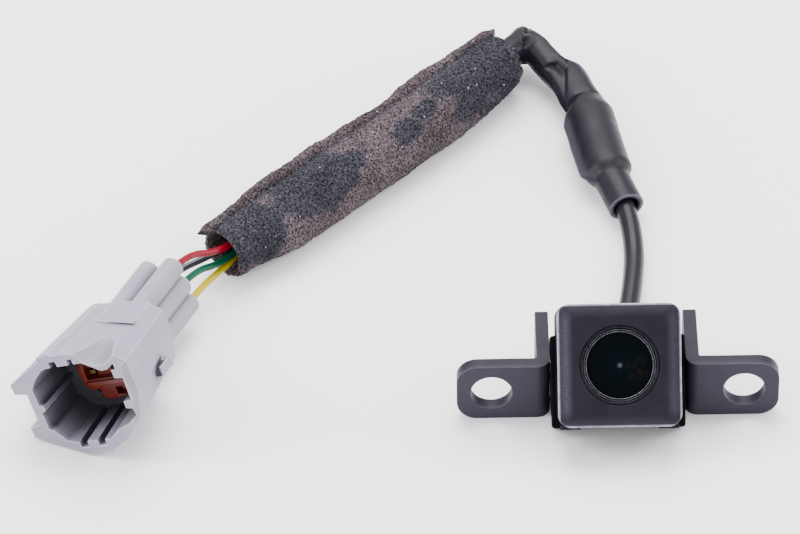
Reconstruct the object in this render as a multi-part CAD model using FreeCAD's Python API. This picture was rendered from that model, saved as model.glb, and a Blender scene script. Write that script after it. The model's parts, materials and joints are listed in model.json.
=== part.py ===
"""Backup camera: a square head between two ears, and its harness lying on the surface behind it.

Millimetres. +X is the head's right seen from the front, +Y runs to the back, +Z is up. The origin is on the
surface that the bracket stands on, under the middle of the head and bracket."""
import FreeCAD, Part
import math
import os

V = FreeCAD.Vector

# ---- head, in its own upright frame: the tilt axis is the origin and the lens looks along -Y
HEAD = 22.1  # side of the square face
CORNER_R = 2.4
FACE_Y = -16.6  # front face
SPLIT_Y = -8.6  # where cover and housing meet
BACK_Y = 3.4  # rear wall's outer face
WALL = 1.3
BEVEL = 2.4  # width of the sloping border round the face
BEVEL_DEEP = 0.9
BEVEL_SOFT = 2.5  # radius where the border meets the flat face
WING_W = 24.0  # width over the side pads
WING_LOW = -11.2
WING_HIGH = 5.5
TILT = 42.0  # degrees from the ears' facing to the lens's
PIVOT = V(0, 4.9, 6.1)  # tilt axis in the part's frame
FLOOR_GAP = 0.3  # the housing's cut-off lower back stays this far above the surface

LENS_R = 7.0  # front flange of the lens barrel
GROOVE = 0.2  # gap round it in the cover
GLASS_R = 6.1
GLASS_SHOWN_R = 5.95  # inside the retaining ring
LENS_RING_R = 6.4  # outside of the retaining ring
GLASS_DOME = 25.0  # radius of the front glass's dome
BARREL_R = 5.6
SCREW_AT = 8.9  # housing screws' place on both axes
SCREW_R = 0.8
SEAT_Y = -4.4  # under the housing screws' heads
BOARD = 17.6
BOARD_THICK = 0.9
PIVOT_SCREW_R = 1.45
INSERT_R = 1.9
CABLE_X = 2.0  # cable exit in the rear wall
CABLE_Z = 5.9

# ---- bracket
SHEET = 2.4
EAR_FRONT = -2.0  # the ears' front face
EAR_H = 12.2
LEG_L = 15.9
LEG_IN = 12.2  # inner face of each leg
EAR_TIP = 29.0
EAR_R = 3.8
HOLE_X = 22.75
HOLE_R = 3.75

# ---- harness
CABLE_R = 1.9
WIRE_R = 0.65
WIRE_PITCH = 1.38  # the four wires lie one above another inside the sleeve and foam
SPLICE_R = 0.68
NECK_R = 3.0
SHRINK_R = 4.3
SLEEVE_R = 3.1
FOAM_R = 6.2
FOAM_BORE = 4.0
TUBE_WALL = 0.3

# Hand-chosen routes. The cable bends down to the surface and runs to the splices.
CABLE_ROUTE = [
    (2.0, 9.59, 9.81), (2.0, 18.3, 2.0), (3.9, 30.4, 2.0), (4.9, 41.5, 2.0), (3.7, 52.0, 3.5),
    (0.5, 61.0, 4.6), (-0.4, 67.0, 4.6),
]
SHRINK_ROUTE = [(3.7, 52.0, 3.5), (0.5, 61.0, 4.6), (-1.5, 72.5, 4.6), (-2.8, 81.5, 4.5)]
SLEEVE_ROUTE = [
    (-2.8, 81.5, 4.5), (-4.6, 87.0, 4.6), (-8.8, 92.6, 5.0), (-11.8, 98.0, 5.4), (-16.5, 97.6, 5.7),
    (-18.5, 93.0, 6.0),
]
FOAM_ROUTE = [(-18.5, 93.0, 6.3), (-33.9, 76.3, 6.3), (-54.5, 54.9, 6.3), (-71.5, 37.5, 6.3)]
WIRE_ROUTE = [
    (-1.6, 73.0, 4.5), *SLEEVE_ROUTE, (-24.5, 86.5, 6.0), (-36.0, 74.1, 6.1), (-47.4, 62.5, 6.0),
    (-58.5, 50.8, 6.1), (-66.9, 42.2, 5.9), (-72.5, 36.5, 5.7),
]
ASIDE = V(0.65, -0.6, 0)  # each wire leaves the foam this far towards its barrel's column

# ---- connector, in its own frame: the mouth's centre is the origin, +Y runs back to the barrels
MOUTH_AT = V(-96.7, -8.6, 10.95)
YAW = -23.5
PITCH = -5.2
ROLL = -25.1
SHELL_L = 20.0
SHELL_TAPER = 0.83
RAIL_L = 17.5
BARREL_END = 39.0
CAVITY_DEEP = 11.0
CAVITY_TAPER = 0.9
COLUMN_X = 2.6  # barrels stand in two columns and three rows
ROW_Z = 3.85
BARREL_OUT = 2.05
TERMINAL_BORE = 1.05
BLADE_FROM = 11.0
SEAL_R = 1.45
SEAL_FROM = 35.5
SEAL_TO = 38.5
WIRE_END = 34.0
RETAINER_R = 5.4
RETAINER_X = 0.7
RETAINER_FROM = 9.8
RETAINER_TO = 12.2
# Keyways, as x and z ranges: two in the top wall and two in the bottom one.
SLOTS = [(-2.3, -0.7, 7.5, 9.3), (1.8, 2.9, 7.5, 9.4), (-3.5, -1.7, -9.1, -7.5), (0.5, 2.2, -9.1, -7.5)]
# Each wire's name, its barrel's column and row, and its place in the stack from the bottom.
WIRES = [("red", 1, 1, 3), ("black", -1, 0, 2), ("green", 1, 0, 1), ("yellow", 1, -1, 0)]


def box(x0, x1, y0, y1, z0, z1):
    return Part.makeBox(x1 - x0, y1 - y0, z1 - z0, V(x0, y0, z0))


def rod(r, y0, y1, x=0.0, z=0.0):
    """A cylinder along Y."""
    return Part.makeCylinder(r, y1 - y0, V(x, y0, z), V(0, 1, 0))


def ring(outer, inner, y0, y1, x=0.0, z=0.0):
    return rod(outer, y0, y1, x, z).cut(rod(inner, y0 - 1, y1 + 1, x, z))


def rounded_wire(w, h, r, y, z=0.0):
    """A rounded rectangle in the XZ plane at y."""
    x1, z1, k = w / 2, h / 2, r * (1 - math.sqrt(0.5))
    edges = []
    for sx, sz in ((1, 1), (-1, 1), (-1, -1), (1, -1)):
        side = V(sx * x1, y, z + sz * (z1 - r))
        top = V(sx * (x1 - r), y, z + sz * z1)
        middle = V(sx * (x1 - k), y, z + sz * (z1 - k))
        start, end = (side, top) if sx == sz else (top, side)
        if edges:
            edges.append(Part.makeLine(edges[-1].valueAt(edges[-1].LastParameter), start))
        edges.append(Part.Arc(start, middle, end).toShape())
    first = edges[0].valueAt(edges[0].FirstParameter)
    edges.append(Part.makeLine(edges[-1].valueAt(edges[-1].LastParameter), first))
    return Part.Wire(edges)


def rounded_bar(w, h, r, y0, y1, z=0.0):
    return Part.Face(rounded_wire(w, h, r, y0, z)).extrude(V(0, y1 - y0, 0))


def fuse(first, *others):
    return first.multiFuse(list(others)).removeSplitter()


def tilted(shape):
    """From the head's own frame into the part's."""
    out = shape.copy()
    out.rotate(V(0, 0, 0), V(1, 0, 0), -TILT)
    out.translate(PIVOT)
    return out


def below_surface(height):
    """Everything under that height above the surface, in the head's own frame."""
    slab = box(-50, 50, -60, 60, -60, height)
    slab.translate(PIVOT * -1)
    slab.rotate(V(0, 0, 0), V(1, 0, 0), TILT)
    return slab


def four_corners(at):
    return [(x, z) for x in (-at, at) for z in (-at, at)]


# ---- head


def front_cover():
    wide = HEAD - 2 * BEVEL
    body = rounded_bar(HEAD, HEAD, CORNER_R, FACE_Y + BEVEL_DEEP, SPLIT_Y)
    slope = Part.makeLoft(
        [rounded_wire(HEAD, HEAD, CORNER_R, FACE_Y + BEVEL_DEEP), rounded_wire(wide, wide, 1.4, FACE_Y)],
        True, True
    )
    skin = fuse(body, slope)
    boxes = [(e, e.BoundBox) for e in skin.Edges]
    rim = [e for e, b in boxes if abs(b.YMin - FACE_Y - BEVEL_DEEP) < 1e-6 and b.YLength < 1e-6]
    skin = skin.makeFillet(0.55, rim)
    inner = [e for e in skin.Edges if abs(e.BoundBox.YMin - FACE_Y) < 1e-6 and e.BoundBox.YLength < 1e-6]
    skin = skin.makeFillet(BEVEL_SOFT, inner)
    inside = HEAD - 2 * WALL
    shell = skin.cut(rounded_bar(inside, inside, 1.0, FACE_Y + 1.6, SPLIT_Y + 1))
    posts = [rod(SCREW_R + 1.1, FACE_Y + 1.6, SPLIT_Y, x, z) for x, z in four_corners(SCREW_AT)]
    tabs = [box(x, x + 3.6, SPLIT_Y - 3.2, SPLIT_Y, -HEAD / 2 - 0.35, -HEAD / 2 + 0.5) for x in (-10.6, 7.0)]
    shell = fuse(shell, *posts, *tabs)
    holes = [rod(SCREW_R + 0.02, -12.2, SPLIT_Y + 1, x, z) for x, z in four_corners(SCREW_AT)]
    return shell.cut([rod(LENS_R + GROOVE, FACE_Y - 1, FACE_Y + 3), *holes])


def rear_housing():
    wing_h = WING_HIGH - WING_LOW
    wing_z = (WING_HIGH + WING_LOW) / 2
    body = rounded_bar(HEAD, HEAD, CORNER_R, SPLIT_Y, BACK_Y)
    wings = rounded_bar(WING_W, wing_h, 0.6, SPLIT_Y + 1.6, BACK_Y, wing_z)
    outer = fuse(body, wings).cut(below_surface(FLOOR_GAP))
    inside = HEAD - 2 * WALL
    hollow = rounded_bar(inside, inside, 1.0, SPLIT_Y - 1, BACK_Y - WALL).cut(below_surface(FLOOR_GAP + WALL))
    columns = [rod(2.1, SPLIT_Y, BACK_Y, x, z) for x, z in four_corners(SCREW_AT)]
    bosses = [
        Part.makeCylinder(2.7, 5.0, V(s * WING_W / 2, 0, 0), V(-s, 0, 0)) for s in (-1, 1)
    ]
    solid = fuse(outer.cut(hollow), *[c.common(outer) for c in columns], *bosses)
    cuts = [rod(SCREW_R + 0.1, SPLIT_Y - 1, BACK_Y + 1, x, z) for x, z in four_corners(SCREW_AT)]
    cuts += [rod(1.6, SEAT_Y, BACK_Y + 1, x, z) for x, z in four_corners(SCREW_AT)]
    cuts += [Part.makeCylinder(INSERT_R, 5.0, V(s * (WING_W / 2 + 0.5), 0, 0), V(-s, 0, 0)) for s in (-1, 1)]
    cuts.append(rod(2.9, BACK_Y - 3, BACK_Y + 1, CABLE_X, CABLE_Z))
    groove = rounded_bar(21.7, 21.7, 1.6, SPLIT_Y - 1, SPLIT_Y + 0.8)
    cuts.append(groove.cut(rounded_bar(20.5, 20.5, 1.2, SPLIT_Y - 2, SPLIT_Y + 2)))
    return solid.cut(cuts)


def housing_gasket():
    outer = rounded_bar(21.7, 21.7, 1.6, SPLIT_Y, SPLIT_Y + 0.8)
    return outer.cut(rounded_bar(20.5, 20.5, 1.2, SPLIT_Y - 1, SPLIT_Y + 2))


def housing_screws():
    screws = []
    for x, z in four_corners(SCREW_AT):
        screw = fuse(rod(1.45, SEAT_Y, SEAT_Y + 1.1, x, z), rod(SCREW_R, -12.0, SEAT_Y, x, z))
        for w, h in ((1.6, 0.4), (0.4, 1.6)):
            screw = screw.cut(box(x - w / 2, x + w / 2, SEAT_Y + 0.5, SEAT_Y + 2, z - h / 2, z + h / 2))
        screws.append(screw)
    return Part.makeCompound(screws)


def lens_barrel():
    body = fuse(
        rod(LENS_R, FACE_Y + 0.2, FACE_Y + 2.2),
        rod(8.2, FACE_Y + 2.2, FACE_Y + 3.4),
        rod(BARREL_R, FACE_Y + 3.4, FACE_Y + 8.0),
    )
    cone = Part.makeCone(6.75, LENS_RING_R, 0.4, V(0, FACE_Y + 0.2, 0), V(0, 1, 0))
    bores = [
        cone,
        rod(LENS_RING_R, FACE_Y + 0.5, FACE_Y + 1.2),
        rod(GLASS_R, FACE_Y + 1.2, FACE_Y + 2.4),
        rod(4.4, FACE_Y + 2.3, FACE_Y + 6.6),
        rod(3.2, FACE_Y + 6.5, FACE_Y + 9),
    ]
    return body.cut(bores)


def front_lens():
    ball = Part.makeSphere(GLASS_DOME, V(0, FACE_Y + GLASS_DOME, 0))
    dome = rod(GLASS_SHOWN_R, FACE_Y - 1, FACE_Y + 1.3).common(ball)
    return fuse(dome, rod(GLASS_R, FACE_Y + 1.2, FACE_Y + 2.4))


def inner_lens(y0, y1, r, dome):
    """A glass disc with a domed front."""
    ball = Part.makeSphere(dome, V(0, y0 + dome, 0))
    return rod(r, y0, y1).common(ball)


def sensor_outline(y0, y1, low):
    board = box(-BOARD / 2, BOARD / 2, y0, y1, low, BOARD / 2)
    return board.cut([rod(2.35, y0 - 1, y1 + 1, x, z) for x, z in four_corners(SCREW_AT)])


def lens_holder():
    block = rounded_bar(13.4, 13.4, 1.5, FACE_Y + 4.6, -6.4)
    return block.cut(rod(BARREL_R, FACE_Y + 3, -6))


def cable_grommet():
    flange = rod(3.9, BACK_Y - WALL - 0.8, BACK_Y - WALL, CABLE_X, CABLE_Z)
    neck = rod(2.9, BACK_Y - WALL, BACK_Y, CABLE_X, CABLE_Z)
    boot = Part.makeCone(3.9, 2.6, 4.0, V(CABLE_X, BACK_Y, CABLE_Z), V(0, 1, 0))
    return fuse(flange, neck, boot).cut(rod(CABLE_R, -5, 12, CABLE_X, CABLE_Z))


# ---- bracket


def bracket(side):
    """One bent piece of sheet: a leg beside the head and an ear that faces the front. side is 1 or -1."""
    r_out = SHEET
    r_in = 0.4
    x0, x1, y0 = LEG_IN, EAR_TIP, EAR_FRONT
    k = 1 - math.sqrt(0.5)
    outline = Part.Wire(
        [
            Part.makeLine(V(x1, y0, 0), V(x0 + r_out, y0, 0)),
            Part.Arc(
                V(x0 + r_out, y0, 0), V(x0 + r_out * k, y0 + r_out * k, 0), V(x0, y0 + r_out, 0)
            ).toShape(),
            Part.makeLine(V(x0, y0 + r_out, 0), V(x0, y0 + LEG_L, 0)),
            Part.makeLine(V(x0, y0 + LEG_L, 0), V(x0 + SHEET, y0 + LEG_L, 0)),
            Part.makeLine(V(x0 + SHEET, y0 + LEG_L, 0), V(x0 + SHEET, y0 + SHEET + r_in, 0)),
            Part.Arc(
                V(x0 + SHEET, y0 + SHEET + r_in, 0),
                V(x0 + SHEET + r_in * k, y0 + SHEET + r_in * k, 0),
                V(x0 + SHEET + r_in, y0 + SHEET, 0),
            ).toShape(),
            Part.makeLine(V(x0 + SHEET + r_in, y0 + SHEET, 0), V(x1, y0 + SHEET, 0)),
            Part.makeLine(V(x1, y0 + SHEET, 0), V(x1, y0, 0)),
        ]
    )
    plate = Part.Face(outline).extrude(V(0, 0, EAR_H))
    tip = [e for e in plate.Edges if e.BoundBox.XMin > x1 - 0.01 and e.BoundBox.YLength > 1]
    plate = plate.makeFillet(EAR_R, tip)
    back = [e for e in plate.Edges if e.BoundBox.YMin > y0 + LEG_L - 0.01 and e.BoundBox.XLength > 1]
    plate = plate.makeFillet(1.5, back)
    pivot = V(x0 - 1, PIVOT.y, PIVOT.z)
    head_r = PIVOT_SCREW_R + 1.35
    cuts = [
        Part.makeCylinder(HOLE_R, 9, V(HOLE_X, y0 - 3, EAR_H / 2), V(0, 1, 0)),
        Part.makeCylinder(PIVOT_SCREW_R + 0.08, 9, pivot, V(1, 0, 0)),
        Part.makeCone(head_r - 1.35, head_r + 0.08, 1.43, V(x0 + SHEET - 1.43, PIVOT.y, PIVOT.z), V(1, 0, 0)),
    ]
    plate = plate.cut(cuts)
    return plate if side > 0 else plate.mirror(V(0, 0, 0), V(1, 0, 0))


def pivot_screw(side):
    """A countersunk screw along X, in the head's own frame."""
    outer = LEG_IN + SHEET - 0.1
    head_r = PIVOT_SCREW_R + 1.2
    shank = Part.makeCylinder(PIVOT_SCREW_R, outer - 8.6, V(8.6, 0, 0), V(1, 0, 0))
    head = Part.makeCone(PIVOT_SCREW_R, head_r, 1.2, V(outer - 1.2, 0, 0), V(1, 0, 0))
    screw = fuse(shank, head)
    for y, z in ((2.6, 0.5), (0.5, 2.6)):
        screw = screw.cut(box(outer - 0.8, outer + 1, -y / 2, y / 2, -z / 2, z / 2))
    return screw if side > 0 else screw.mirror(V(0, 0, 0), V(1, 0, 0))


def pivot_insert(side):
    """A knurled brass bush in the housing, round the screw."""
    x0 = 7.7
    bush = Part.makeCylinder(INSERT_R, WING_W / 2 - x0, V(x0, 0, 0), V(1, 0, 0))
    bush = bush.cut(Part.makeCylinder(PIVOT_SCREW_R, 20, V(x0 + 0.9, 0, 0), V(1, 0, 0)))
    return bush if side > 0 else bush.mirror(V(0, 0, 0), V(1, 0, 0))


# ---- harness


def rounded_path(route, name):
    """Straight runs joined by tangent arcs, each as large as its two runs allow."""
    points = [V(*p) for p in route]
    edges, at, radii = [], points[0], []
    for before, corner, after in zip(points, points[1:], points[2:]):
        back, on = before - corner, after - corner
        shorter = min(back.Length, on.Length)
        back.normalize()
        on.normalize()
        half_turn = (math.pi - back.getAngle(on)) / 2
        cut = 0.45 * shorter
        radius = cut / math.tan(half_turn)
        radii.append(round(radius, 1))
        start, end = corner + back * cut, corner + on * cut
        inward = (back + on).normalize()
        middle = corner + inward * (radius / math.cos(half_turn) - radius)
        edges.append(Part.LineSegment(at, start).toShape())
        edges.append(Part.Arc(start, middle, end).toShape())
        at = end
    edges.append(Part.LineSegment(at, points[-1]).toShape())
    print(name, "radii", radii)
    return Part.Wire(edges)


def tube(path, r):
    first = path.Edges[0]
    start = first.valueAt(first.FirstParameter)
    circle = Part.Wire(Part.makeCircle(r, start, first.tangentAt(first.FirstParameter)))
    shape = path.makePipeShell([circle], True, True)
    full = math.pi * r * r * path.Length
    print("  volume over section x length:", round(shape.Volume / full, 4))
    return shape


def hollow_tube(route, outer, inner, name):
    path = rounded_path(route, name)
    return tube(path, outer).cut(tube(path, inner))


def shrink_tube():
    """A round neck round the cable, then a wider body over the splices, as one shrunk-on tube."""
    corner, second = V(*SHRINK_ROUTE[0]), V(*SHRINK_ROUTE[1])
    along = (second - corner).normalize()
    start = corner + along * 1.0
    neck = Part.makeCylinder(NECK_R, 7.0, start, along)
    body_route = [tuple(corner + along * 7.5), *SHRINK_ROUTE[1:]]
    path = rounded_path(body_route, "shrink_tube")
    step = Part.makeCone(NECK_R, SHRINK_R, 1.5, corner + along * 6.0, along)
    outer = fuse(neck, step, tube(path, SHRINK_R))
    bore = Part.makeCylinder(NECK_R - 0.6, 9.0, corner, along)
    return outer.cut([bore, tube(path, SHRINK_R - TUBE_WALL)])


def stack_z(place):
    return (place - 1.5) * WIRE_PITCH


def connector_placement():
    turn = FreeCAD.Rotation(V(0, 0, 1), YAW)
    turn = turn.multiply(FreeCAD.Rotation(V(1, 0, 0), PITCH))
    turn = turn.multiply(FreeCAD.Rotation(V(0, 1, 0), ROLL))
    return FreeCAD.Placement(MOUTH_AT, turn)


def on_connector(shape):
    out = shape.copy()
    out.Placement = connector_placement().multiply(out.Placement)
    return out


def wire(column, row, place, name):
    """From its splice, through the sleeve and foam, to its barrel."""
    frame = connector_placement()
    lift = V(0, 0, stack_z(place))
    route = [tuple(V(*p) + lift) for p in WIRE_ROUTE]
    x, z = column * COLUMN_X, row * ROW_Z
    route[-1] = tuple(V(*route[-1]) + ASIDE * column)
    route.append(tuple(frame.multVec(V(x, BARREL_END + 4.4, z))))
    route.append(tuple(frame.multVec(V(x, WIRE_END, z))))
    return tube(rounded_path(route, name), WIRE_R)


def splices():
    """The four joints between the cable's cores and the wires."""
    end = V(*CABLE_ROUTE[-1])
    along = (V(*WIRE_ROUTE[0]) - end).normalize()
    length = (V(*WIRE_ROUTE[0]) - end).Length
    joints = [Part.makeCylinder(SPLICE_R, length, end + V(0, 0, stack_z(k)), along) for k in range(4)]
    return Part.makeCompound(joints)


# ---- connector


def tapered(points, y0, y1, k):
    """The outline of (x, z) points, drawn from y0 to y1 and shrinking to k times its size."""
    ends = []
    for y, scale in ((y0, 1.0), (y1, k)):
        corners = [V(x * scale, y, z * scale) for x, z in points]
        ends.append(Part.makePolygon(corners + corners[:1]))
    return Part.makeLoft(ends, True, True)


def octagon():
    """The shell's outline: flat top and bottom, sloping shoulders, and a wider lock side."""
    right = [(2.6, 10.5), (10.4, 8.9), (13.2, 7.0), (13.0, 0.5), (11.0, -4.8), (7.2, -8.3), (2.6, -10.5)]
    left = [(-2.6, -10.5), (-10.2, -6.6), (-9.7, 3.0), (-10.2, 6.6), (-2.6, 10.5)]
    return right + left


def cavity_outline():
    """The mouth's keyed inner outline, clockwise from the top left: lobes, tabs and the lock's bulge."""
    left_top = [(-8.3, 0.7), (-8.2, 4.2), (-6.8, 5.9), (-4.5, 7.8), (-3.4, 8.1)]
    bulge = [(4.6, 8.3), (7.2, 6.7), (8.2, 6.2), (9.5, 6.4), (11.1, 7.4)]
    right = [(11.1, 6.0), (10.1, 6.0), (10.1, 4.3), (11.8, 4.2), (11.4, -0.6), (9.7, -0.7), (9.6, -2.1)]
    right_low = [(10.9, -2.3), (10.7, -4.1), (8.4, -5.5), (5.9, -6.3), (3.6, -7.9)]
    left_low = [(-3.7, -7.9), (-5.7, -7.3), (-7.6, -4.9), (-8.5, -4.4), (-8.4, -0.9), (-7.5, -0.6), (-7.5, 0.4)]
    return left_top + bulge + right + right_low + left_low


def keyways():
    """Grooves in the cavity's flat walls that admit only the matching plug."""
    cuts = []
    for x0, x1, z0, z1 in SLOTS:
        cuts.append(tapered([(x0, z0), (x0, z1), (x1, z1), (x1, z0)], -1, CAVITY_DEEP, CAVITY_TAPER))
    return cuts


def raised_bands():
    """A low rib along the top left of the shell and a low pad over the back of its top right."""
    rib = [(-4.4, 9.0), (-4.4, 10.35), (-3.9, 10.6), (-1.5, 10.85), (-1.2, 9.0)]
    pad = [(2.3, 8.0), (2.3, 9.75), (9.6, 8.2), (9.6, 6.5)]
    return [tapered(rib, 0, SHELL_L, SHELL_TAPER), tapered(pad, 12.0, SHELL_L, 0.925)]


def lock_ramp():
    """A hollow in the top that deepens towards the mouth, for the plug's latch."""
    front = Part.makeCircle(4.9, V(8.0, -0.5, 12.0), V(0, 1, 0))
    back = Part.makeCircle(1.2, V(8.0, 10.0, 10.6), V(0, 1, 0))
    return Part.makeLoft([Part.Wire(front), Part.Wire(back)], True, False)


def connector_housing():
    shell = tapered(octagon(), 0, SHELL_L, SHELL_TAPER)
    boxes = [(e, e.BoundBox) for e in shell.Edges]
    side = [e for e, b in boxes if b.YMax < 0.01 and b.XMin > 10.3 and b.ZMin > -5.0]
    shell = shell.makeChamfer(1.1, side)
    rails = []
    for s in (-1, 1):
        points = [(-12.2, s * 3.6), (-12.2, s * 5.7), (-9.4, s * 7.1), (-9.4, s * 3.2)]
        rails.append(tapered(points, 0, RAIL_L, 0.86))
    hook = box(9.5, 12.3, 10.4, 14.4, -2.4, -0.6)
    barrels = [
        rod(BARREL_OUT, SHELL_L - 2, BARREL_END, x, z)
        for x in (-COLUMN_X, COLUMN_X) for z in (-ROW_Z, 0, ROW_Z)
    ]
    web = box(-COLUMN_X, COLUMN_X, SHELL_L - 2, BARREL_END - 7, -ROW_Z, ROW_Z)
    body = fuse(shell, *rails, *raised_bands(), hook, web, *barrels)
    cavity = tapered(cavity_outline(), -1, CAVITY_DEEP, CAVITY_TAPER).multiFuse(keyways())
    pocket = rod(RETAINER_R + 0.25, CAVITY_DEEP - 1, RETAINER_TO + 0.2, RETAINER_X)
    cuts = [lock_ramp(), cavity, pocket]
    for _, column, row, _ in WIRES:
        x, z = column * COLUMN_X, row * ROW_Z
        cuts.append(rod(TERMINAL_BORE, CAVITY_DEEP, SEAL_FROM, x, z))
        cuts.append(rod(SEAL_R, SEAL_FROM, BARREL_END + 1, x, z))
    return body.cut(cuts)


def terminal_retainer():
    """A plate that locks the terminals, with a window for each blade, a recessed face and a rib."""
    plate = rod(RETAINER_R, RETAINER_FROM, RETAINER_TO, RETAINER_X)
    rib = box(RETAINER_X - 4.4, RETAINER_X + 4.4, RETAINER_FROM - 0.5, RETAINER_FROM + 0.5, -2.2, -1.2)
    recess = rod(RETAINER_R - 1.1, RETAINER_FROM - 1, RETAINER_FROM + 1.3, RETAINER_X)
    recess = recess.cut(box(-9, 9, 0, 20, -9, -0.9))
    windows = [
        box(x - 1.0, x + 1.0, 0, 20, z - 0.8, z + 0.8)
        for x in (-COLUMN_X, COLUMN_X) for z in (-ROW_Z, 0, ROW_Z)
    ]
    return fuse(plate, rib).cut(windows + [recess])


def each_wire(make):
    return Part.makeCompound([make(c * COLUMN_X, r * ROW_Z) for _, c, r, _ in WIRES])


def terminal(x, z):
    blade = box(x - 0.6, x + 0.6, BLADE_FROM, 25, z - 0.4, z + 0.4)
    return fuse(blade, rod(0.95, 24, WIRE_END, x, z))


def seal(x, z):
    return ring(SEAL_R, WIRE_R, SEAL_FROM, SEAL_TO, x, z)


def build():
    head = {
        "front_cover": front_cover(),
        "rear_housing": rear_housing(),
        "housing_gasket": housing_gasket(),
        "housing_screws": housing_screws(),
        "lens_barrel": lens_barrel(),
        "front_lens": front_lens(),
        "lens_retaining_ring": ring(LENS_RING_R, GLASS_SHOWN_R, FACE_Y + 0.5, FACE_Y + 1.2),
        "lens_o_ring": ring(8.0, LENS_R, FACE_Y + 1.6, FACE_Y + 2.2),
        "second_lens": inner_lens(FACE_Y + 2.9, FACE_Y + 4.2, 4.4, 16.0),
        "lens_spacer": ring(4.4, 3.6, FACE_Y + 4.2, FACE_Y + 5.0),
        "third_lens": inner_lens(FACE_Y + 5.0, FACE_Y + 6.4, 4.4, 12.0),
        "ir_filter": box(-3.8, 3.8, -8.6, -8.3, -3.8, 3.8),
        "lens_holder": lens_holder(),
        "sensor_glass": box(-3.2, 3.2, -7.7, -7.3, -2.8, 2.8),
        "image_sensor": box(-3.5, 3.5, -7.3, -6.4, -3.1, 3.1),
        "sensor_board": sensor_outline(-6.4, -6.4 + BOARD_THICK, -BOARD / 2),
        "board_connector": box(-4.5, 4.5, -5.5, -3.7, -6.6, -4.2),
        "processor_board": sensor_outline(-3.7, -3.7 + BOARD_THICK, -7.6),
        "image_processor": box(-6.2, -0.2, -2.8, -1.9, -4.0, 2.0),
        "cable_plug": box(CABLE_X - 3.6, CABLE_X + 3.6, -2.8, 1.0, CABLE_Z - 1.9, CABLE_Z + 1.9),
        "cable_grommet": cable_grommet(),
        "pivot_insert_left": pivot_insert(-1),
        "pivot_insert_right": pivot_insert(1),
        "pivot_screw_left": pivot_screw(-1),
        "pivot_screw_right": pivot_screw(1),
    }
    parts = {name: tilted(shape) for name, shape in head.items()}
    parts["bracket_left"] = bracket(-1)
    parts["bracket_right"] = bracket(1)
    parts["camera_cable"] = tube(rounded_path(CABLE_ROUTE, "camera_cable"), CABLE_R)
    parts["splices"] = splices()
    parts["shrink_tube"] = shrink_tube()
    parts["flat_sleeve"] = hollow_tube(SLEEVE_ROUTE, SLEEVE_R, SLEEVE_R - TUBE_WALL, "flat_sleeve")
    parts["foam_wrap"] = hollow_tube(FOAM_ROUTE, FOAM_R, FOAM_BORE, "foam_wrap")
    for name, column, row, place in WIRES:
        parts["wire_" + name] = wire(column, row, place, "wire_" + name)
    parts["connector_housing"] = on_connector(connector_housing())
    parts["terminal_retainer"] = on_connector(terminal_retainer())
    parts["terminals"] = on_connector(each_wire(terminal))
    parts["wire_seals"] = on_connector(each_wire(seal))
    return parts


def main():
    os.makedirs("parts", exist_ok=True)
    for name, shape in build().items():
        shape.exportStep("parts/" + name + ".step")
        b = shape.BoundBox
        print(f"{name:22} solids {len(shape.Solids)} valid {shape.isValid()} y {b.YMin:.2f} {b.YMax:.2f}"
              f" z {b.ZMin:.2f} {b.ZMax:.2f}")


main()
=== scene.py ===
import json
import math

import bmesh
import bpy
from mathutils import Matrix, Vector, noise


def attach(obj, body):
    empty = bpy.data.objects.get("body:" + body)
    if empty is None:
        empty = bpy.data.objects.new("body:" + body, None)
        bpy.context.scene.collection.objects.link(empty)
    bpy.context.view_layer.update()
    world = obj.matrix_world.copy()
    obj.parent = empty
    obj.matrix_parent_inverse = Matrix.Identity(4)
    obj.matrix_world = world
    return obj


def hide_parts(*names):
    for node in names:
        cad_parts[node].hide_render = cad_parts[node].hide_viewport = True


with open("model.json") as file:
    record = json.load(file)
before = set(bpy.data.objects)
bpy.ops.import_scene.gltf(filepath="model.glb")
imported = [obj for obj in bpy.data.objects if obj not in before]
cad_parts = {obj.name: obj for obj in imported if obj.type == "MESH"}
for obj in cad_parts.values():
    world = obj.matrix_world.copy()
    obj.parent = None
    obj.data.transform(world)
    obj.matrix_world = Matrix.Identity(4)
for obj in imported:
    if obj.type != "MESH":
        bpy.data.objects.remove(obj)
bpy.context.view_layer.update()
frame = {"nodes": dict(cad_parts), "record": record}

MM = 0.001
UP = Vector((0, 0, 1))

# ---- the part's own places, in millimetres, as in the CAD

TILT = math.radians(42.0)  # how far the head is turned back on the pivot screws
PIVOT = Vector((0, 4.9, 6.1))
FACE_Y = -16.6  # the front of the head in its own upright frame
CABLE_R = 1.9
WIRE_R = 0.65
WIRE_PITCH = 1.38  # from one wire to the next in the stack
CABLE_ROUTE = [
    (2.0, 9.59, 9.81), (2.0, 18.3, 2.0), (3.9, 30.4, 2.0), (4.9, 41.5, 2.0), (3.7, 52.0, 3.5),
    (0.5, 61.0, 4.6), (-0.4, 67.0, 4.6),
]
SHRINK_ROUTE = [(3.7, 52.0, 3.5), (0.5, 61.0, 4.6), (-1.5, 72.5, 4.6), (-2.8, 81.5, 4.5)]
SLEEVE_ROUTE = [
    (-2.8, 81.5, 4.5), (-4.6, 87.0, 4.6), (-8.8, 92.6, 5.0), (-11.8, 98.0, 5.4), (-16.5, 97.6, 5.7),
    (-18.5, 93.0, 6.0),
]
FOAM_ROUTE = [(-18.5, 93.0, 6.3), (-33.9, 76.3, 6.3), (-54.5, 54.9, 6.3), (-71.5, 37.5, 6.3)]
WIRE_ROUTE = [
    (-1.6, 73.0, 4.5), *SLEEVE_ROUTE, (-24.5, 86.5, 6.0), (-36.0, 74.1, 6.1), (-47.4, 62.5, 6.0),
    (-58.5, 50.8, 6.1), (-66.9, 42.2, 5.9), (-72.5, 36.5, 5.7),
]

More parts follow.
